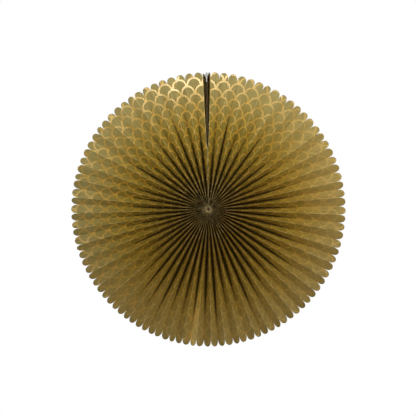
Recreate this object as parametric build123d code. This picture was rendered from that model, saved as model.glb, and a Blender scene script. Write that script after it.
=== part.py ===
from build123d import *
from math import asin, ceil, cos, pi, radians, sin, sqrt
import os

# A paper fan medallion: one long strip of printed paper, pleated across its width and
# swung round until its two ends meet. Sizes are in millimetres and angles in degrees.
# The disc stands in the XZ plane with its printed front towards -Y and its seam at the
# top (+Z), and the origin is the middle of the disc.

# The pleated strip
disc_diameter = 400.0  # across the tips of the lobes
panel_width = 14.0  # from one fold to the next along the strip
paper_thickness = 0.1
lobe_height = 10.0  # the round die-cut end of a panel, past the ends of its folds
lobe_steps = 10  # flat steps round a lobe
lobe_inset = 0.3  # bevelled edge between the end of a fold and the lobe beside it
crease_depth = 0.6  # furthest that the inner corner of a crease lies from its fold
leaf_spacing = 0.112  # from leaf to leaf where they crowd round the centre hole

# How far the pleats stand open at the rim
flattest_slope = 20.0  # least slope of a panel, where the pleats stand widest
opening_bias = 0.115  # how much wider than the average the widest pleats stand
opening_turn = 12.0  # from the seam clockwise to the widest pleats
seam_width = 11.5  # at the rim, between the front folds on either side of the seam
seam_closed = 0.46  # how far out along the folds the end leaves lie against each other
seam_knee = 0.5  # how far out they have parted to the thickness of their boards
knee_gap = 0.4  # up to there, from an end leaf to the front fold beside it

# The stiff boards glued behind the two end panels, and the tape that joins them
board_thickness = 0.9
board_margin = 0.3  # by which a board is smaller than its panel all round
board_setback = 1.0  # from the inner end of the tape out to the inner ends of the boards
skive_gap = 0.2  # along the seam, from an end leaf to the sloping inner end of its board
tape_thickness = 0.6
tape_width = 9.0
tape_outer_setback = 4.0  # from the ends of the folds at the rim in to the tape

# The thread that gathers the inner ends of the leaves
thread_diameter = 0.6
thread_inset = 5.0  # from the inner ends of the leaves out to the thread
thread_depth = 3.0  # behind the middle of the disc
thread_clearance = 0.15
thread_facets = 6  # flat sides of the thread's section
hole_facets = 36  # flat sides of the ring that cuts the holes for it

# Places along a fold, from 0 at the centre hole to 1 at the rim, where the panels bend
bend_shares = (0.0, 0.05, seam_closed, seam_knee, 0.75, 1.0)

os.makedirs("parts", exist_ok=True)

half_width = panel_width / 2
half_paper = paper_thickness / 2
fold_radius = disc_diameter / 2 - lobe_height  # where the folds end at the rim

# The pleats between the two folds that face the seam, as many as keep the flattest slope
seam_azimuth = asin(seam_width / 2 / fold_radius)
open_turn = 2 * pi - 2 * seam_azimuth
widest_pitch = panel_width * cos(radians(flattest_slope))
open_panels = 2 * ceil(open_turn * fold_radius * (1 + opening_bias) / widest_pitch / 2)

# Two more panels at each end reach into the seam, and the last one lies on its board
last_fold = open_panels + 4
first_open, last_open = 2, last_fold - 2
board_leaf_x = tape_thickness / 2 + board_thickness + half_paper

# The leaves stand side by side all round the centre hole
hub_step = 2 * pi / (last_fold + 1)
hub_radius = leaf_spacing / hub_step
fold_length = fold_radius - hub_radius

last_bend = len(bend_shares) - 1


def on_circle(radius, azimuth):
    """A point of the disc's plane, with the azimuth clockwise from the seam."""
    return Vector(radius * sin(azimuth), 0, radius * cos(azimuth))


def rim_azimuth(fold):
    """Where a fold ends at the rim: the pleats stand wider near the seam."""
    share = (fold - first_open) / open_panels
    turn = radians(opening_turn)
    sway = opening_bias / (2 * pi) * (sin(2 * pi * share - turn) + sin(turn))
    return seam_azimuth + open_turn * (share + sway)


def along_fold(share, *stops):
    """A value along a fold that runs straight from stop to stop, each a share and a value."""
    for (start, first), (end, second) in zip(stops, stops[1:]):
        if share <= end:
            return first + (second - first) * (share - start) / (end - start)
    return stops[-1][1]


def plan_point(fold, share):
    """A point of a fold, seen along the disc's axis."""
    side = 1 if fold < last_fold / 2 else -1
    inner = on_circle(hub_radius, (fold + 0.5) * hub_step)
    if fold < first_open or fold > last_open:
        x = along_fold(
            share,
            (0, leaf_spacing / 2),
            (seam_closed, leaf_spacing / 2),
            (seam_knee, board_leaf_x),
        )
        return Vector(side * x, 0, hub_radius + share * fold_length)
    outer = on_circle(fold_radius, rim_azimuth(fold))
    point = inner + (outer - inner) * share
    if fold in (first_open, last_open):
        x = along_fold(
            share,
            (0, abs(inner.X)),
            (seam_closed, leaf_spacing / 2 + knee_gap),
            (seam_knee, board_leaf_x + knee_gap),
            (1, abs(outer.X)),
        )
        return Vector(side * x, 0, point.Z)
    return point


def half_depth(fold, share):
    """Half the depth of the pleats at an open fold, from the paper that is left over."""
    beside = [other for other in (fold - 1, fold + 1) if first_open <= other <= last_open]
    here = plan_point(fold, share)
    pitch = sum((plan_point(other, share) - here).length for other in beside) / len(beside)
    return sqrt(panel_width**2 - pitch**2) / 2


def leaf_lean(share):
    """How far back an end leaf leans, so that the panel beside it is not stretched."""
    reach = plan_point(first_open, share).X - plan_point(first_open - 1, share).X
    return sqrt(panel_width**2 - reach**2) - half_depth(first_open, share) - half_width


knee_lean = leaf_lean(seam_knee)
rim_lean = leaf_lean(1)


def fold_point(fold, share):
    """A point of a fold on the middle of the paper: even folds are ridges of the front."""
    if fold < first_open or fold > last_open:
        depth = along_fold(share, (0, 0), (seam_knee, knee_lean), (1, rim_lean))
        depth += half_width if fold % 2 else -half_width
    else:
        depth = half_depth(fold, share) * (1 if fold % 2 else -1)
    return plan_point(fold, share) + Vector(0, depth, 0)


folds = range(last_fold + 1)
panels = range(last_fold)
points = [[fold_point(fold, share) for share in bend_shares] for fold in folds]


def across(panel, bend):
    """Unit direction over a panel, from its first fold to its second."""
    return (points[panel + 1][bend] - points[panel][bend]).normalized()


def front_normal(panel, bend):
    """Unit normal of a panel on its printed side."""
    inner = max(bend - 1, 0)
    outer = min(bend + 1, last_bend)
    along = Vector(0, 0, 0)
    for fold in (panel, panel + 1):
        along += points[fold][outer] - points[fold][inner]
    return across(panel, bend).cross(along).normalized()


def corner(fold, panel, bend, side):
    """Corner of the paper at a fold, on the front (side 1) or the back (side -1)."""
    point = points[fold][bend]
    ridge_side = -1 if fold % 2 else 1
    if side == ridge_side or fold in (0, last_fold):
        return point + front_normal(panel, bend) * (side * half_paper)
    before = front_normal(fold - 1, bend)
    after = front_normal(fold, bend)
    mitre = (before + after) * (half_paper / (1 + before.dot(after)))
    if mitre.length > crease_depth:
        mitre = mitre.normalized() * crease_depth
    return point + mitre * side


def facet(*corners):
    return Face(Wire.make_polygon(corners))


def facet_pair(first, second, third, fourth):
    """Two flat facets over four corners that need not lie in one plane."""
    return [facet(first, second, third), facet(first, third, fourth)]


def panel_faces(panel):
    """Both sides of a panel from the centre hole to the rim, and its inner end."""
    faces = []
    for side in (1, -1):
        for bend in range(last_bend):
            faces += facet_pair(
                corner(panel, panel, bend, side),
                corner(panel + 1, panel, bend, side),
                corner(panel + 1, panel, bend + 1, side),
                corner(panel, panel, bend + 1, side),
            )
    faces += facet_pair(
        corner(panel, panel, 0, 1),
        corner(panel + 1, panel, 0, 1),
        corner(panel + 1, panel, 0, -1),
        corner(panel, panel, 0, -1),
    )
    return faces


def lobe_faces(panel):
    """The round end of a panel at the rim: half an ellipse, in small flat steps."""
    start = points[panel][last_bend]
    chord = points[panel + 1][last_bend] - start
    normal = front_normal(panel, last_bend)
    outward = normal.cross(chord).normalized()
    base = start + chord * 0.5 + outward * lobe_inset
    reach = across(panel, last_bend) * (chord.length / 2 - lobe_inset)
    rise = outward * (lobe_height - lobe_inset)
    turns = [pi * step / lobe_steps for step in range(lobe_steps + 1)]
    middles = [base - reach * cos(turn) + rise * sin(turn) for turn in turns]
    rims = {}
    for side in (1, -1):
        rims[side] = [
            corner(panel, panel, last_bend, side),
            *[middle + normal * (side * half_paper) for middle in middles],
            corner(panel + 1, panel, last_bend, side),
        ]
    front, back = rims[1], rims[-1]
    faces = [facet(*front), facet(*back)]
    for step in range(len(front) - 1):
        if step in (0, len(front) - 2):
            faces += facet_pair(front[step], front[step + 1], back[step + 1], back[step])
        else:
            faces.append(facet(front[step], front[step + 1], back[step + 1], back[step]))
    return faces


def crease_faces(fold):
    """The narrow outside of a crease, and its small ends at the hole and the rim."""
    side = -1 if fold % 2 else 1
    faces = []
    for bend in range(last_bend):
        faces += facet_pair(
            corner(fold, fold - 1, bend, side),
            corner(fold, fold, bend, side),
            corner(fold, fold, bend + 1, side),
            corner(fold, fold - 1, bend + 1, side),
        )
    for bend in (0, last_bend):
        faces.append(
            facet(
                corner(fold, fold - 1, bend, side),
                corner(fold, fold, bend, side),
                corner(fold, fold, bend, -side),
            )
        )
    return faces


def end_faces(fold, panel):
    """The cut end of the strip, along the free edge of its last panel."""
    faces = []
    for bend in range(last_bend):
        faces += facet_pair(
            corner(fold, panel, bend, 1),
            corner(fold, panel, bend, -1),
            corner(fold, panel, bend + 1, -1),
            corner(fold, panel, bend + 1, 1),
        )
    return faces


sheet_faces = end_faces(0, 0) + end_faces(last_fold, last_fold - 1)
for panel in panels:
    sheet_faces += panel_faces(panel) + lobe_faces(panel)
for fold in range(1, last_fold):
    sheet_faces += crease_faces(fold)
folded_sheet = Solid(Shell(sheet_faces))

# One hole through every leaf for the binding thread
thread_radius = hub_radius + thread_inset
hole_half = thread_diameter / 2 + thread_clearance
hole_ring = RegularPolygon(thread_radius + hole_half, hole_facets)
hole_ring -= RegularPolygon(thread_radius - hole_half, hole_facets)
hole_plane = Plane.XZ.offset(-thread_depth)
pleated_sheet = folded_sheet - extrude(hole_plane * hole_ring, hole_half, both=True)
thread_section = RegularPolygon(thread_diameter / 2, thread_facets)
binding_thread = revolve(Pos(thread_radius, thread_depth) * thread_section, Axis.Y)

# The boards keep the outline of the end panels
board_half = half_width - board_margin
closed_height = hub_radius + seam_closed * fold_length
knee_height = hub_radius + seam_knee * fold_length
leaf_rise = (knee_height - closed_height) / (board_leaf_x - leaf_spacing / 2)
tape_reach = tape_thickness / 2 + half_paper - leaf_spacing / 2
tape_start = closed_height + tape_reach * leaf_rise + skive_gap
board_start = tape_start + board_setback


def lean_at(height):
    """How far back the middle of the boards lies at a height over the centre."""
    share = (height - hub_radius) / fold_length
    return along_fold(share, (0, 0), (seam_knee, knee_lean), (1, rim_lean))


def board_outline():
    """Outline of a board in the YZ plane, with its round outer end."""
    foot = lean_at(knee_height)
    tip = EllipticalCenterArc(
        (rim_lean, fold_radius), board_half, lobe_height - board_margin, 0, arc_size=180
    )
    sides = Polyline(
        (rim_lean - board_half, fold_radius),
        (foot - board_half, knee_height),
        (lean_at(board_start) - board_half, board_start),
        (lean_at(board_start) + board_half, board_start),
        (foot + board_half, knee_height),
        (rim_lean + board_half, fold_radius),
    )
    return Plane.YZ * make_face([sides, tip])


# Its inner end is pared to a slope, where the end leaf closes in on it
whole_board = Pos(tape_thickness / 2, 0, 0) * extrude(board_outline(), board_thickness)
skive_point = (board_leaf_x - half_paper, 0, knee_height + skive_gap)
skive = Plane(origin=skive_point, x_dir=(0, 1, 0), z_dir=(-leaf_rise, 0, 1))
right_end_board = split(whole_board, bisect_by=skive, keep=Keep.TOP)
left_end_board = mirror(right_end_board, Plane.YZ)

tape_end = fold_radius - tape_outer_setback
tape_half = tape_width / 2
tape_outline = Plane.YZ * make_face(
    Polyline(
        (lean_at(tape_start) - tape_half, tape_start),
        (lean_at(tape_start) + tape_half, tape_start),
        (lean_at(knee_height) + tape_half, knee_height),
        (lean_at(tape_end) + tape_half, tape_end),
        (lean_at(tape_end) - tape_half, tape_end),
        (lean_at(knee_height) - tape_half, knee_height),
        close=True,
    )
)
seam_tape = extrude(tape_outline, tape_thickness / 2, both=True)

export_step(pleated_sheet, "parts/pleated_sheet.step")
export_step(right_end_board, "parts/right_end_board.step")
export_step(left_end_board, "parts/left_end_board.step")
export_step(seam_tape, "parts/seam_tape.step")
export_step(binding_thread, "parts/binding_thread.step")
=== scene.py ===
import bpy
import numpy as np
from math import asin, ceil, cos, pi, radians, sin
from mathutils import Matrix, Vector


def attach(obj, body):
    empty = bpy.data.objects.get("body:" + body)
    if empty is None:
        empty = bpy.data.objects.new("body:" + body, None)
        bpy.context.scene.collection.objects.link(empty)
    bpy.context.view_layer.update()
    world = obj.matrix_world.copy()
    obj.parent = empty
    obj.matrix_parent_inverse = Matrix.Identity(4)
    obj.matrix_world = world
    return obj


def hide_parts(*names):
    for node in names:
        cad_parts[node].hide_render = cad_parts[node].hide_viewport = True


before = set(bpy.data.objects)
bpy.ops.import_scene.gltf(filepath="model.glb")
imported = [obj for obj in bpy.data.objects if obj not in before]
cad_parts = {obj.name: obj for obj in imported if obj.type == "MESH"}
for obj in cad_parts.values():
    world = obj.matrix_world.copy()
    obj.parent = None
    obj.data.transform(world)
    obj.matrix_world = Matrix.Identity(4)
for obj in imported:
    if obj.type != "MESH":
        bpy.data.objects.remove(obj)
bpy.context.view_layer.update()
scene = bpy.context.scene
rng = np.random.default_rng(11)

# Sizes in metres, the same as the part's own. The disc stands in the XZ plane, its
# printed front towards -Y and its seam at the top.
disc_diameter = 0.400
panel_width = 0.014  # from one fold to the next along the strip
paper_thickness = 0.0001
lobe_height = 0.010  # the round die-cut end of a panel, past the ends of its folds
leaf_spacing = 0.000112  # from leaf to leaf where they crowd round the centre hole
flattest_slope = 20.0  # least slope of a panel in degrees, where the pleats stand widest
opening_bias = 0.115  # how much wider than the average the widest pleats stand
opening_turn = 12.0  # degrees from the seam clockwise to the widest pleats
seam_width = 0.0115  # at the rim, between the front folds on either side of the seam
seam_closed = 0.46  # how far out along the folds the end leaves lie against each other
seam_knee = 0.5  # how far out they have parted to the thickness of their boards
knee_gap = 0.0004  # up to there, from an end leaf to the front fold beside it
board_thickness = 0.0009
tape_thickness = 0.0006
thread_ring_radius = 0.0069
thread_ring_depth = 0.003

half_width = panel_width / 2
half_paper = paper_thickness / 2
fold_radius = disc_diameter / 2 - lobe_height
seam_azimuth = asin(seam_width / 2 / fold_radius)
open_turn = 2 * pi - 2 * seam_azimuth
widest_pitch = panel_width * cos(radians(flattest_slope))
open_panels = 2 * ceil(open_turn * fold_radius * (1 + opening_bias) / widest_pitch / 2)
last_fold = open_panels + 4
closed_leaf_x = leaf_spacing / 2
board_leaf_x = tape_thickness / 2 + board_thickness + half_paper
hub_step = 2 * pi / (last_fold + 1)
hub_radius = leaf_spacing / hub_step

# The visible paper's own values
lobe_powers = 2.2, 2.5  # of the rounded outline of a lobe
widest_pitch_share = 0.985  # of a panel's width, the most that a pleat opens to
slip_spread = 0.17  # degrees by which the folds stray at the rim
slip_limit = 0.3  # degrees
camber_spread = 0.00022
curl_spread = 0.0006
draw_in = 0.0019  # of the back folds at the hole
draw_in_length = 0.0022  # over which that fades outwards
fold_half_width = 0.00007  # of the round outside of each fold
fold_room_share = 0.4  # of the room between leaves, the most that half width takes
shortest_mitre = 0.45

# How finely it is divided
columns = 12  # across one panel
rows = 26  # from the centre hole to the ends of the folds
row_crowding = 1.25  # towards the hole
lobe_rows = 5  # from the ends of the folds to the tips of the lobes
all_rows = rows + lobe_rows + 1

even_shares = np.linspace(0, 1, rows - 1) ** row_crowding
row_shares = np.sort(np.concatenate([even_shares, (seam_closed, seam_knee)]))
row_radius = hub_radius + row_shares * (fold_radius - hub_radius)


def on_circle(radius, azimuth):
    """Places on a circle round the disc's axis, by the turn clockwise from the top."""
    return np.stack([radius * np.sin(azimuth), 0 * azimuth, radius * np.cos(azimuth)], -1)


def beside_seam(at_hole, at_closed, at_knee, at_rim):
    """A value along the folds beside the seam, which run straight from stop to stop."""
    stops = (0, seam_closed, seam_knee, 1)
    return np.interp(row_shares, stops, (at_hole, at_closed, at_knee, at_rim))


# The folds, seen along the disc's axis: the same lines as the solid's, with each rim end
# away from the seam moved by the small chance differences that hand folding leaves
folds = np.arange(last_fold + 1)
end_folds = (0, 1, last_fold - 1, last_fold)
seam_folds = (2, last_fold - 2)
hand = np.where(folds < last_fold / 2, 1.0, -1.0)  # right or left of the seam
sides = np.where(folds % 2, 1.0, -1.0)  # at the back or at the front
share_of_turn = (folds - 2) / open_panels
turn = radians(opening_turn)
sway = opening_bias / (2 * pi) * (np.sin(2 * pi * share_of_turn - turn) + sin(turn))
slips = np.clip(rng.normal(0, slip_spread, last_fold + 1), -slip_limit, slip_limit)
slips[:4] = 0
slips[-4:] = 0
rim_azimuths = seam_azimuth + open_turn * (share_of_turn + sway) + np.radians(slips)

inner = on_circle(hub_radius, (folds + 0.5) * hub_step)
outer = on_circle(fold_radius, rim_azimuths)
lines = inner[:, None] + (outer - inner)[:, None] * row_shares[None, :, None]
for fold in end_folds:
    places = beside_seam(closed_leaf_x, closed_leaf_x, board_leaf_x, board_leaf_x)
    lines[fold, :, 0] = hand[fold] * places
    lines[fold, :, 2] = row_radius
for fold in seam_folds:
    parted = closed_leaf_x + knee_gap, board_leaf_x + knee_gap
    places = beside_seam(abs(inner[fold, 0]), *parted, abs(outer[fold, 0]))
    lines[fold, :, 0] = hand[fold] * places

# Half the depth of the pleats, from the paper that is left over at each place
gaps = np.linalg.norm(lines[3:-2] - lines[2:-3], axis=-1)
pitches = np.concatenate([gaps[:1], (gaps[1:] + gaps[:-1]) / 2, gaps[-1:]])
pitches = np.minimum(pitches, widest_pitch_share * panel_width)
depths = np.sqrt(panel_width**2 - pitches**2) / 2
lines[2:-2, :, 1] = depths * sides[2:-2, None]
end_panel_depth = np.sqrt(panel_width**2 - (lines[2, :, 0] - lines[1, :, 0]) ** 2)
leans = end_panel_depth - depths[0] - half_width
knee_lean = np.interp(seam_knee, row_shares, leans)
closed_lean = knee_lean * seam_closed / seam_knee
for fold in end_folds:
    lean = beside_seam(0, closed_lean, knee_lean, leans[-1])
    lines[fold, :, 1] = lean + sides[fold] * half_width

# The thread draws the back ends of the leaves together, so the hole narrows to the back
funnel = np.exp(-((row_radius - hub_radius) / draw_in_length))
for fold in folds[1::2]:
    azimuth = 0.0 if fold in end_folds else (fold + 0.5) * hub_step
    lines[fold] -= on_circle(1.0, np.array(azimuth)) * (funnel * draw_in)[:, None]

# The sheet's middle, panel by panel: ruled between its two folds, with a round lobe past
# their ends, and with a little camber and curl on all but the end panels
across = (1 - np.cos(pi * np.arange(columns + 1) / columns)) / 2
lobe_sides = np.abs(2 * across - 1) ** lobe_powers[0]
lobe_rise = lobe_height * np.maximum(0, 1 - lobe_sides) ** (1 / lobe_powers[1])
cambers = rng.normal(0, camber_spread, last_fold)
curls = rng.normal(0, curl_spread, last_fold)
for amounts in (cambers, curls):
    amounts[:2] = 0
    amounts[-2:] = 0
middle = np.zeros((last_fold, columns + 1, all_rows, 3))
fronts = np.zeros((last_fold, columns + 1, all_rows, 3))
for panel in range(last_fold):
    first, second = lines[panel], lines[panel + 1]
    along = np.gradient((first + second) / 2, axis=0)
    normal = np.cross(second - first, along)
    normal /= np.linalg.norm(normal, axis=-1)[:, None]
    bow = cambers[panel] * 4 * across * (1 - across)
    ruled = first[None] + (second - first)[None] * across[:, None, None]
    ruled = ruled + bow[:, None, None] * row_shares[None, :, None] * normal[None]
    outward = np.cross(normal[-1], second[-1] - first[-1])
    outward /= np.linalg.norm(outward)
    rise = lobe_rise[:, None] * np.arange(1, lobe_rows + 1)[None] / lobe_rows
    lift = curls[panel] * (rise / lobe_height) ** 2
    lobe = ruled[:, -1:] + outward * rise[..., None] + normal[-1] * lift[..., None]
    middle[panel] = np.concatenate([ruled, lobe], axis=1)
    fronts[panel] = np.concatenate([normal, np.repeat(normal[-1:], lobe_rows, axis=0)])[None]

# The skins lie half the paper's thickness off its middle, and less where the leaves crowd.
# Neighbouring panels share the points of their fold on its inside, on the mitre of the two,
# and on its outside a narrow round strip lies between them.
distances = np.hypot(middle[..., 0], middle[..., 2])
fronts *= half_paper * np.minimum(1, distances * hub_step / leaf_spacing)[..., None]
caps = np.zeros((last_fold, all_rows, 3))
halves = np.zeros((last_fold, all_rows, 3))
for fold in range(1, last_fold):
    both = fronts[fold - 1, -1] + fronts[fold, 0]
    offset = np.linalg.norm(fronts[fold, 0], axis=-1)[:, None]
    length = np.linalg.norm(both, axis=-1)[:, None]
    caps[fold] = both / length * offset
    mitre = caps[fold] * (2 / np.maximum(length / offset, shortest_mitre))
    fronts[fold - 1, -1] = mitre
    fronts[fold, 0] = mitre
    azimuths = np.arctan2(middle[fold, 0, :, 0], middle[fold, 0, :, 2])
    sideways = np.stack([np.cos(azimuths), 0 * azimuths, -np.sin(azimuths)], -1)
    room = fold_room_share * hub_step * distances[fold, 0]
    halves[fold] = sideways * np.minimum(fold_half_width, room)[:, None]


def rounded(fold, side):
    """Whether a skin has the round strip at a fold: on its outside, away from the seam."""
    return 3 <= fold <= last_fold - 3 and (fold % 2 == 0) == (side > 0)


# The print lies on two sheets joined end to end, which meet half way round. Each has its
# own shift along the strip and lift across it.
sheet_join = 54  # the first panel of the second sheet
sheet = (np.arange(last_fold) >= sheet_join).astype(int)
print_shift = np.array((-0.0023, 0.0154))[sheet]
print_lift = np.array((0.0026, -0.0026))[sheet]

# The panels beside the boards stand deepest in shade, so the painted crease shade spreads
# further over them
painted_shade_gain = np.ones(last_fold)
painted_shade_gain[[1, -2]] = 2.5

front_slot, back_slot, edge_slot = 0, 1, 2
points = []
faces = []
slots = []
flat_uv = []
fold_uv = []


def along_strip(panel, column):
    """The distance along the flat strip, from the seam."""
    return (panel - 2 + across[column]) * panel_width


def add_face(panel, column, row, block, side):
    """One face of a skin, with the places of its corners in the print and on the pleat."""
    cells = [(column, row), (column + 1, row), (column + 1, row + 1), (column, row + 1)]
    kept = []
    for cell in cells if side > 0 else cells[::-1]:
        if block[cell] not in [block[other] for other in kept]:
            kept.append(cell)
    if len(kept) < 3:
        return
    faces.append([int(block[cell]) for cell in kept])
    slots.append(front_slot if side > 0 else back_slot)
    for column, row in kept:
        if row > rows:
            radius = fold_radius + lobe_rise[column] * (row - rows) / lobe_rows
        else:
            radius = row_radius[row]
        x = along_strip(panel, column) + print_shift[panel]
        flat_uv.append((x, radius + print_lift[panel]))
        over = across[column] if panel % 2 == 0 else 1 - across[column]
        fold_uv.append((over * painted_shade_gain[panel], radius))


def add_edge(panel, start, end):
    """A strip of the cut edge, from the front skin to the back one."""
    front, back = blocks[1][panel], blocks[-1][panel]
    if front[start] == front[end]:
        return
    faces.append([int(corner) for corner in (front[start], front[end], back[end], back[start])])
    slots.append(edge_slot)
    for column, row in (start, end, end, start):
        radius = row_radius[min(row, rows)]
        flat_uv.append((along_strip(panel, column), radius))
        fold_uv.append((0.5, radius))


blocks = {1: [], -1: []}
for side in (1, -1):
    for panel in range(last_fold):
        block = np.zeros((columns + 1, all_rows), int)
        skin = middle[panel] + fronts[panel] * side
        if rounded(panel, side):
            skin[0] = middle[panel, 0] + caps[panel] * side + halves[panel]
        if rounded(panel + 1, side):
            skin[-1] = middle[panel, -1] + caps[panel + 1] * side - halves[panel + 1]
        for column in range(columns + 1):
            for row in range(all_rows):
                if column == 0 and panel > 0 and not rounded(panel, side):
                    block[column, row] = blocks[side][panel - 1][columns, row]
                elif row > rows and column in (0, columns):
                    block[column, row] = block[column, rows]
                else:
                    block[column, row] = len(points)
                    points.append(tuple(skin[column, row]))
        blocks[side].append(block)
        for column in range(columns):
            for row in range(all_rows - 1):
                add_face(panel, column, row, block, side)

# The cut edges: at the hole and the tips, then at the two ends of the strip
for panel in range(last_fold):
    for column in range(columns):
        add_edge(panel, (column + 1, 0), (column, 0))
        add_edge(panel, (column, all_rows - 1), (column + 1, all_rows - 1))
for row in range(rows):
    add_edge(0, (0, row), (0, row + 1))
    add_edge(last_fold - 1, (columns, row + 1), (columns, row))

# The round strips on the outsides of the folds, each closed at both its ends
for fold in range(3, last_fold - 2):
    side = -1 if fold % 2 else 1
    strip = np.stack([blocks[side][fold - 1][columns], blocks[side][fold][0]])
    for row in range(rows):
        add_face(fold, 0, row, strip, side)
    for row in (0, rows):
        corners = [int(strip[1, row]), int(strip[0, row]), int(blocks[-side][fold][0, row])]
        faces.append(corners if (side > 0) == (row == 0) else corners[::-1])
        slots.append(edge_slot)
        flat_uv.extend([(along_strip(fold, 0), row_radius[row])] * 3)
        fold_uv.extend([(0.5, row_radius[row])] * 3)

mesh = bpy.data.meshes.new("folded_paper")
mesh.from_pydata(points, [], faces)
mesh.polygons.foreach_set("material_index", slots)
mesh.polygons.foreach_set("use_smooth", [slot != edge_slot for slot in slots])
for layer_name, places in (("Flat", flat_uv), ("Fold", fold_uv)):
    layer = mesh.uv_layers.new(name=layer_name)
    layer.data.foreach_set("uv", np.array(places, dtype=np.float32).ravel())
mesh.update()
paper = bpy.data.objects.new("folded_paper", mesh)
scene.collection.objects.link(paper)


class Nodes:
    """A few short calls for building a material's nodes."""

    def __init__(self, name):
        self.material = bpy.data.materials.new(name)
        self.material.use_nodes = True
        self.tree = self.material.node_tree
        self.shader = self.tree.nodes["Principled BSDF"]

    def node(self, kind, **settings):
        node = self.tree.nodes.new(kind)
        for key, value in settings.items():
            setattr(node, key, value)
        return node

    def put(self, socket, value):
        if isinstance(value, bpy.types.NodeSocket):
            self.tree.links.new(value, socket)
        else:
            socket.default_value = value

    def math(self, operation, *values):
        node = self.node("ShaderNodeMath", operation=operation)
        for socket, value in zip(node.inputs, values):
            self.put(socket, value)
        return node.outputs[0]

    def plus(self, first, second):
        return self.math("ADD", first, second)

    def minus(self, first, second):
        return self.math("SUBTRACT", first, second)

    def times(self, first, second):
        return self.math("MULTIPLY", first, second)

    def length(self, first, second):
        return self.math("SQRT", self.plus(self.times(first, first), self.times(second, second)))

    def ramp(self, value, low, high, to_low=0.0, to_high=1.0):
        node = self.node("ShaderNodeMapRange", interpolation_type="SMOOTHSTEP")
        for socket, item in zip(node.inputs, (value, low, high, to_low, to_high)):
            self.put(socket, item)
        return node.outputs[0]

    def fall(self, value, low, high):
        return self.ramp(value, low, high, 1.0, 0.0)

    def mix(self, share, first, second, blend="MIX"):
        node = self.node("ShaderNodeMix", data_type="RGBA", blend_type=blend)
        for index, value in ((0, share), (6, first), (7, second)):
            self.put(node.inputs[index], (*value, 1) if isinstance(value, tuple) else value)
        return node.outputs[2]

    def tint(self, share, colour, factor):
        return self.mix(share, colour, factor, "MULTIPLY")

    def noise(self, place, scale, detail=3.0, roughness=0.55):
        node = self.node("ShaderNodeTexNoise")
        self.put(node.inputs["Vector"], place)
        self.put(node.inputs["Scale"], scale)
        self.put(node.inputs["Detail"], detail)
        self.put(node.inputs["Roughness"], roughness)
        return node.outputs["Fac"]

    def uv(self, name):
        return self.node("ShaderNodeUVMap", uv_map=name).outputs[0]

    def own_place(self):
        return self.node("ShaderNodeTexCoord").outputs["Object"]

    def split(self, vector):
        node = self.node("ShaderNodeSeparateXYZ")
        self.put(node.inputs[0], vector)
        return node.outputs

    def join(self, x, y):
        node = self.node("ShaderNodeCombineXYZ")
        self.put(node.inputs[0], x)
        self.put(node.inputs[1], y)
        return node.outputs[0]

    def bump(self, height, strength, distance):
        node = self.node("ShaderNodeBump")
        self.put(node.inputs["Strength"], strength)
        self.put(node.inputs["Distance"], distance)
        self.put(node.inputs["Height"], height)
        self.put(self.shader.inputs["Normal"], node.outputs[0])

    def set(self, **values):
        for key, value in values.items():
            self.put(self.shader.inputs[key.replace("_", " ")], value)


def scale_lines(n, place):
    """Where the print's lines lie: rows of fish scales, every other row half a scale on."""
    scale_width = 0.0243
    row_height = 0.01145
    first_row_top = 0.1916
    first_scale_middle = 0.0194
    wander = 0.0009
    x, radius, _ = n.split(place)
    up_and_down = n.times(n.minus(n.noise(place, 420.0, 2.0), 0.5), wander)
    to_and_fro = n.times(n.minus(n.noise(place, 330.0, 2.0), 0.5), wander)
    down = n.math("DIVIDE", n.minus(first_row_top, n.plus(radius, up_and_down)), row_height)
    row = n.math("FLOOR", down)
    height = n.minus(1.0, n.minus(down, row))
    along = n.math("DIVIDE", n.minus(n.plus(x, to_and_fro), first_scale_middle), scale_width)
    along = n.plus(n.plus(along, n.times(n.math("FLOORED_MODULO", row, 2.0), 0.5)), 0.5)
    side = n.times(n.minus(n.math("FRACT", along), 0.5), 2.0)
    distance = n.length(side, height)
    return n.times(n.ramp(distance, 0.76, 0.82), n.fall(distance, 0.985, 1.015))


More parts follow.
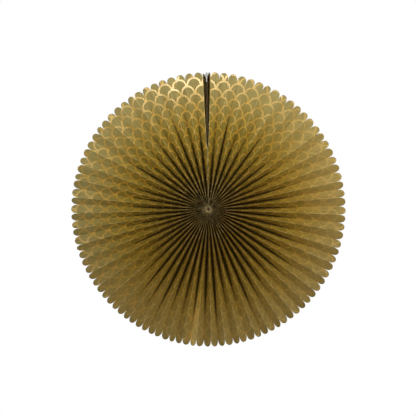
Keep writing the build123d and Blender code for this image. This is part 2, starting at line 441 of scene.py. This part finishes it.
def printed_paper():
    """Olive paper with fish scales in metallic gold, pale along the front folds with wear and
    painted highlights, and with painted shade in its creases and towards the hole.

    Flat holds the place on the strip, along it and out from the hole. Fold holds the share
    of the way over a panel, from its front fold to its back one, and the radius.
    """
    n = Nodes("printed_paper")
    place = n.uv("Flat")
    x, radius, _ = n.split(place)
    over, out, _ = n.split(n.uv("Fold"))
    fine = n.noise(place, 2600.0, 4.0, 0.65)
    blotch = n.noise(place, 55.0, 3.0)

    # The gold, whole beside the seam and faded to islands opposite it. The fade is painted
    # light:
    # it keeps the lines bright where the disc catches the light and dims them where they lie in
    # shade
    patchy = n.ramp(n.noise(place, 700.0, 3.0), 0.28, 0.46, 0.50, 1.0)
    painted_line_light = n.math("MAXIMUM", n.ramp(x, 0.06, 0.30, 1.0, 0.45), n.ramp(x, 0.86, 1.12, 0.45, 1.0))
    islands = n.ramp(n.noise(place, 170.0, 2.0), 0.54, 0.64)
    ink = n.times(n.times(scale_lines(n, place), patchy), n.math("MAXIMUM", painted_line_light, islands))
    gold_tone = n.ramp(n.noise(place, 900.0, 2.0), 0.3, 0.7)
    gold = n.mix(gold_tone, (0.54, 0.335, 0.062), (0.64, 0.428, 0.102))
    smudge = n.times(n.minus(1.0, painted_line_light), n.ramp(blotch, 0.25, 0.75, 0.35, 0.85))

    # Painted shade in the creases, reaching further out low on the disc; pale streaks on the
    # ridges, partly fold wear and partly painted highlight; and a painted light star round the
    # hole
    stray = n.ramp(n.noise(n.join(x, 0.0), 45.0, 1.0), 0.3, 0.7, -0.024, 0.024)
    sharper = n.times(n.ramp(x, 0.15, 0.60), n.fall(x, 0.84, 1.0))
    reach = n.minus(n.minus(out, stray), n.times(sharper, 0.042))
    shade_from = n.ramp(reach, 0.03, 0.155, 0.42, 1.0)
    painted_crease_shade = n.ramp(n.minus(over, shade_from), 0.0, 0.28)
    streaks = n.noise(n.join(x, n.times(radius, 0.2)), 240.0, 3.0)
    ridge_wear_and_highlight = n.times(n.fall(over, 0.0, 0.055), n.ramp(streaks, 0.39, 0.56))
    painted_hub_light = n.times(n.fall(out, 0.0035, 0.0075), n.fall(over, 0.22, 0.50))

    # The paper, with painted shade towards the hole, and with a grain that runs along the leaves
    ground = n.mix(n.ramp(blotch, 0.3, 0.7), (0.345, 0.274, 0.084), (0.405, 0.326, 0.112))
    ground = n.mix(n.ramp(fine, 0.35, 0.7, 0.0, 0.45), ground, (0.46, 0.385, 0.150))
    ground = n.mix(smudge, ground, (0.59, 0.345, 0.066))
    # Painted shade: darker and warmer towards the hole, and darker and greyer close round it
    ground = n.tint(n.fall(out, 0.0, 0.26), ground, (0.46, 0.37, 0.20))
    ground = n.tint(n.fall(out, 0.006, 0.03), ground, (0.45, 0.46, 0.52))
    grain = n.noise(n.join(x, n.times(radius, 0.05)), 420.0, 4.0, 0.7)
    ground = n.tint(n.ramp(grain, 0.35, 0.5, 0.4, 0.0), ground, (0.62, 0.60, 0.55))
    ground = n.tint(n.ramp(grain, 0.46, 0.62, 0.0, 0.4), ground, (1.40, 1.38, 1.34))

    # The print on it, warmer half way out, and paler on the panel where the sheets join
    colour = n.mix(ink, ground, gold)
    warm = n.times(n.ramp(out, 0.03, 0.06), n.fall(out, 0.10, 0.19))
    colour = n.tint(warm, colour, (1.0, 0.95, 0.46))
    join_start = along_strip(sheet_join, 0) + print_shift[sheet_join]
    past_start = n.math("GREATER_THAN", x, join_start)
    before_end = n.math("LESS_THAN", x, join_start + panel_width)
    on_join = n.times(n.times(past_start, before_end), n.ramp(out, 0.06, 0.13, 0.0, 0.95))
    colour = n.tint(on_join, colour, (1.95, 2.05, 2.5))
    # Pale streaks along the front folds: partly fold wear, partly painted highlight
    colour = n.mix(n.times(ridge_wear_and_highlight, 0.75), colour, (0.74, 0.535, 0.20))
    # Painted shade, near black, in the creases
    colour = n.mix(n.times(painted_crease_shade, 0.88), colour, (0.018, 0.012, 0.003))
    # Painted light: a pale star on the ridge sides round the hole
    colour = n.mix(painted_hub_light, colour, (0.92, 0.67, 0.29))

    dull = n.times(n.minus(fine, 0.5), 0.16)
    n.set(Base_Color=colour, Specular_IOR_Level=0.22, Metallic=n.times(ink, 0.3))
    n.set(Coat_Weight=n.times(ink, 0.8), Coat_IOR=1.65, Coat_Roughness=0.30)
    n.set(Roughness=n.plus(n.ramp(ink, 0.0, 1.0, 0.60, 0.40), dull))
    fibres = n.plus(n.times(fine, 0.6), n.times(n.noise(place, 800.0), 0.6))
    n.bump(n.plus(fibres, n.times(ink, 0.35)), 0.28, 0.00012)
    return n.material


def plain_paper(name, pale):
    """The unprinted back of the sheet, or its cut edges."""
    n = Nodes(name)
    place = n.uv("Flat")
    over, out, _ = n.split(n.uv("Fold"))
    fine = n.noise(place, 2400.0, 4.0, 0.65)
    blotch = n.noise(place, 50.0, 3.0)
    tones = (0.30, 0.26, 0.145), (0.36, 0.315, 0.185), (0.43, 0.39, 0.26)
    low, high, speck = (tuple(pale * c for c in tone) for tone in tones)
    colour = n.mix(n.ramp(blotch, 0.3, 0.7), low, high)
    colour = n.mix(n.ramp(fine, 0.35, 0.7, 0.0, 0.4), colour, speck)
    rub = n.times(n.ramp(over, 0.95, 1.0), n.ramp(n.noise(place, 240.0), 0.4, 0.6))
    colour = n.mix(n.times(rub, 0.5), colour, (0.52, 0.47, 0.33))
    # Painted shade: near black where the leaves crowd round the hole
    colour = n.mix(n.ramp(out, 0.003, 0.006, 0.9, 0.0), colour, (0.012, 0.009, 0.004))
    n.set(Base_Color=colour, Specular_IOR_Level=0.25)
    n.set(Roughness=n.ramp(fine, 0.2, 0.8, 0.62, 0.82))
    n.bump(n.plus(fine, n.noise(place, 700.0)), 0.3, 0.00012)
    return n.material


def card(name):
    """Dark grey-brown card, in thin layers that show at its edges; its dark colour is partly
    painted shade of the deep seam.
    """
    n = Nodes(name)
    place = n.own_place()
    through = n.split(place)[0]
    layers_per_metre = 5200.0
    ragged = n.plus(through, n.times(n.noise(place, 900.0), 0.00012))
    layers = n.math("FRACT", n.times(ragged, layers_per_metre))
    fine = n.noise(place, 1500.0, 4.0)
    colour = n.mix(n.ramp(fine, 0.3, 0.7), (0.036, 0.020, 0.006), (0.060, 0.035, 0.011))
    colour = n.mix(n.ramp(layers, 0.35, 0.75, 0.0, 0.6), colour, (0.084, 0.050, 0.018))
    n.set(Base_Color=colour, Specular_IOR_Level=0.1)
    n.set(Roughness=n.ramp(fine, 0.2, 0.8, 0.75, 0.9))
    n.bump(n.plus(n.times(layers, 0.5), fine), 0.35, 0.00015)
    return n.material


def foam():
    """Dark foam tape with small open pores; its dark colour is partly painted shade of the deep
    seam.
    """
    n = Nodes("foam_tape")
    place = n.own_place()
    cells = n.node("ShaderNodeTexVoronoi", feature="F1")
    n.put(cells.inputs["Vector"], place)
    n.put(cells.inputs["Scale"], 3200.0)
    pores = n.ramp(cells.outputs["Distance"], 0.1, 0.6)
    pale = n.ramp(n.noise(place, 160.0), 0.35, 0.65, 0.0, 0.35)
    colour = n.mix(pores, (0.045, 0.026, 0.008), (0.10, 0.058, 0.020))
    colour = n.mix(pale, colour, (0.13, 0.080, 0.030))
    n.set(Base_Color=colour, Specular_IOR_Level=0.1)
    n.set(Roughness=n.ramp(pores, 0.0, 1.0, 0.95, 0.8))
    n.bump(pores, 0.5, 0.0002)
    return n.material


def cotton():
    """Twisted cotton thread: slanting strands round the ring."""
    n = Nodes("cotton_thread")
    place = n.own_place()
    x, y, z = n.split(place)
    round_ring = n.math("ARCTAN2", x, z)
    outwards = n.minus(n.length(x, z), thread_ring_radius)
    round_thread = n.math("ARCTAN2", n.minus(y, thread_ring_depth), outwards)
    strand = n.math("SINE", n.plus(n.times(round_ring, 60.0), n.times(round_thread, 3.0)))
    fuzz = n.noise(place, 6000.0, 3.0)
    colour = n.mix(n.ramp(strand, -0.9, 0.6), (0.14, 0.115, 0.07), (0.34, 0.295, 0.20))
    colour = n.mix(n.ramp(fuzz, 0.4, 0.7, 0.0, 0.35), colour, (0.46, 0.41, 0.30))
    n.set(Base_Color=colour, Roughness=n.ramp(fuzz, 0.2, 0.8, 0.8, 0.95))
    n.bump(n.plus(strand, fuzz), 0.5, 0.0001)
    return n.material


mesh.materials.append(printed_paper())
mesh.materials.append(plain_paper("paper_back", 1.0))
mesh.materials.append(plain_paper("paper_edge", 1.15))
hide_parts("pleated_sheet")
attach(paper, "root")

looks = {
    "right_end_board": card("right_card"),
    "left_end_board": card("left_card"),
    "seam_tape": foam(),
    "binding_thread": cotton(),
}
for name, material in looks.items():
    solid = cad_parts[name].data
    solid.materials.clear()
    solid.materials.append(material)

# A softer surround for the light, and a white one for the eye and for reflections
surround_strengths = 0.105, 1.0
world = bpy.data.worlds.new("studio")
scene.world = world
world.use_nodes = True
tree = world.node_tree
tree.nodes.clear()
rays = tree.nodes.new("ShaderNodeLightPath")
seen = rays.outputs["Is Camera Ray"]
for kind in ("Is Glossy Ray", "Is Transmission Ray"):
    either = tree.nodes.new("ShaderNodeMath")
    either.operation = "MAXIMUM"
    tree.links.new(seen, either.inputs[0])
    tree.links.new(rays.outputs[kind], either.inputs[1])
    seen = either.outputs[0]
choice = tree.nodes.new("ShaderNodeMixShader")
tree.links.new(seen, choice.inputs[0])
for index, strength in enumerate(surround_strengths):
    surround = tree.nodes.new("ShaderNodeBackground")
    surround.inputs["Color"].default_value = (1, 1, 1, 1)
    surround.inputs["Strength"].default_value = strength
    tree.links.new(surround.outputs[0], choice.inputs[index + 1])
output = tree.nodes.new("ShaderNodeOutputWorld")
tree.links.new(choice.outputs[0], output.inputs[0])


def pale_floor():
    """Near white, and a little lighter to the eye than the lamps make it."""
    n = Nodes("pale_floor")
    tone = n.ramp(n.noise(n.own_place(), 3.0), 0.3, 0.7)
    n.set(Base_Color=n.mix(tone, (0.80, 0.80, 0.79), (0.83, 0.83, 0.82)), Roughness=0.8)
    seen = n.node("ShaderNodeLightPath").outputs["Is Camera Ray"]
    n.set(Emission_Color=(1, 1, 0.99, 1), Emission_Strength=n.times(seen, 0.62))
    return n.material


floor_reach = 3.0
floor_height = -1.2
floor_sides = [(-1, -1), (1, -1), (1, 1), (-1, 1)]
floor_corners = [(floor_reach * x, floor_reach * y, floor_height) for x, y in floor_sides]
floor_mesh = bpy.data.meshes.new("floor")
floor_mesh.from_pydata(floor_corners, [], [(0, 1, 2, 3)])
floor_mesh.materials.append(pale_floor())
floor = bpy.data.objects.new("floor", floor_mesh)
scene.collection.objects.link(floor)


def softbox(name, place, target, size, watts, spread):
    lamp = bpy.data.lights.new(name, "AREA")
    lamp.shape = "SQUARE"
    lamp.size = size
    lamp.energy = watts
    lamp.spread = radians(spread)
    holder = bpy.data.objects.new(name, lamp)
    scene.collection.objects.link(holder)
    holder.location = place
    holder.rotation_euler = (Vector(target) - Vector(place)).to_track_quat("-Z", "Y").to_euler()


softbox("key", (0.14, -1.1, 0.33), (0.05, 0.0, 0.12), 0.35, 0.64, 60)
softbox("right_side", (0.75, -0.62, 0.38), (0.0, 0.0, 0.17), 0.35, 0.33, 50)
softbox("left_side", (-0.75, -0.62, 0.18), (0.0, 0.0, 0.22), 0.35, 0.28, 45)
softbox("back", (0.35, 1.35, 0.65), (0.0, 0.0, 0.0), 0.6, 14.0, 150)

# Straight on, as the photograph is, in a square frame of this width at the disc
view_width = 0.606
view_distance = 2.0
view_tilt = 0.8  # degrees
camera_data = bpy.data.cameras.new("camera")
camera_data.sensor_width = 36.0
camera_data.lens = camera_data.sensor_width * view_distance / view_width
camera = bpy.data.objects.new("camera", camera_data)
scene.collection.objects.link(camera)
camera.location = (-0.0006, -view_distance, 0.002)
camera.rotation_euler = (radians(90), radians(view_tilt), 0)
scene.camera = camera

scene.view_settings.view_transform = "Standard"
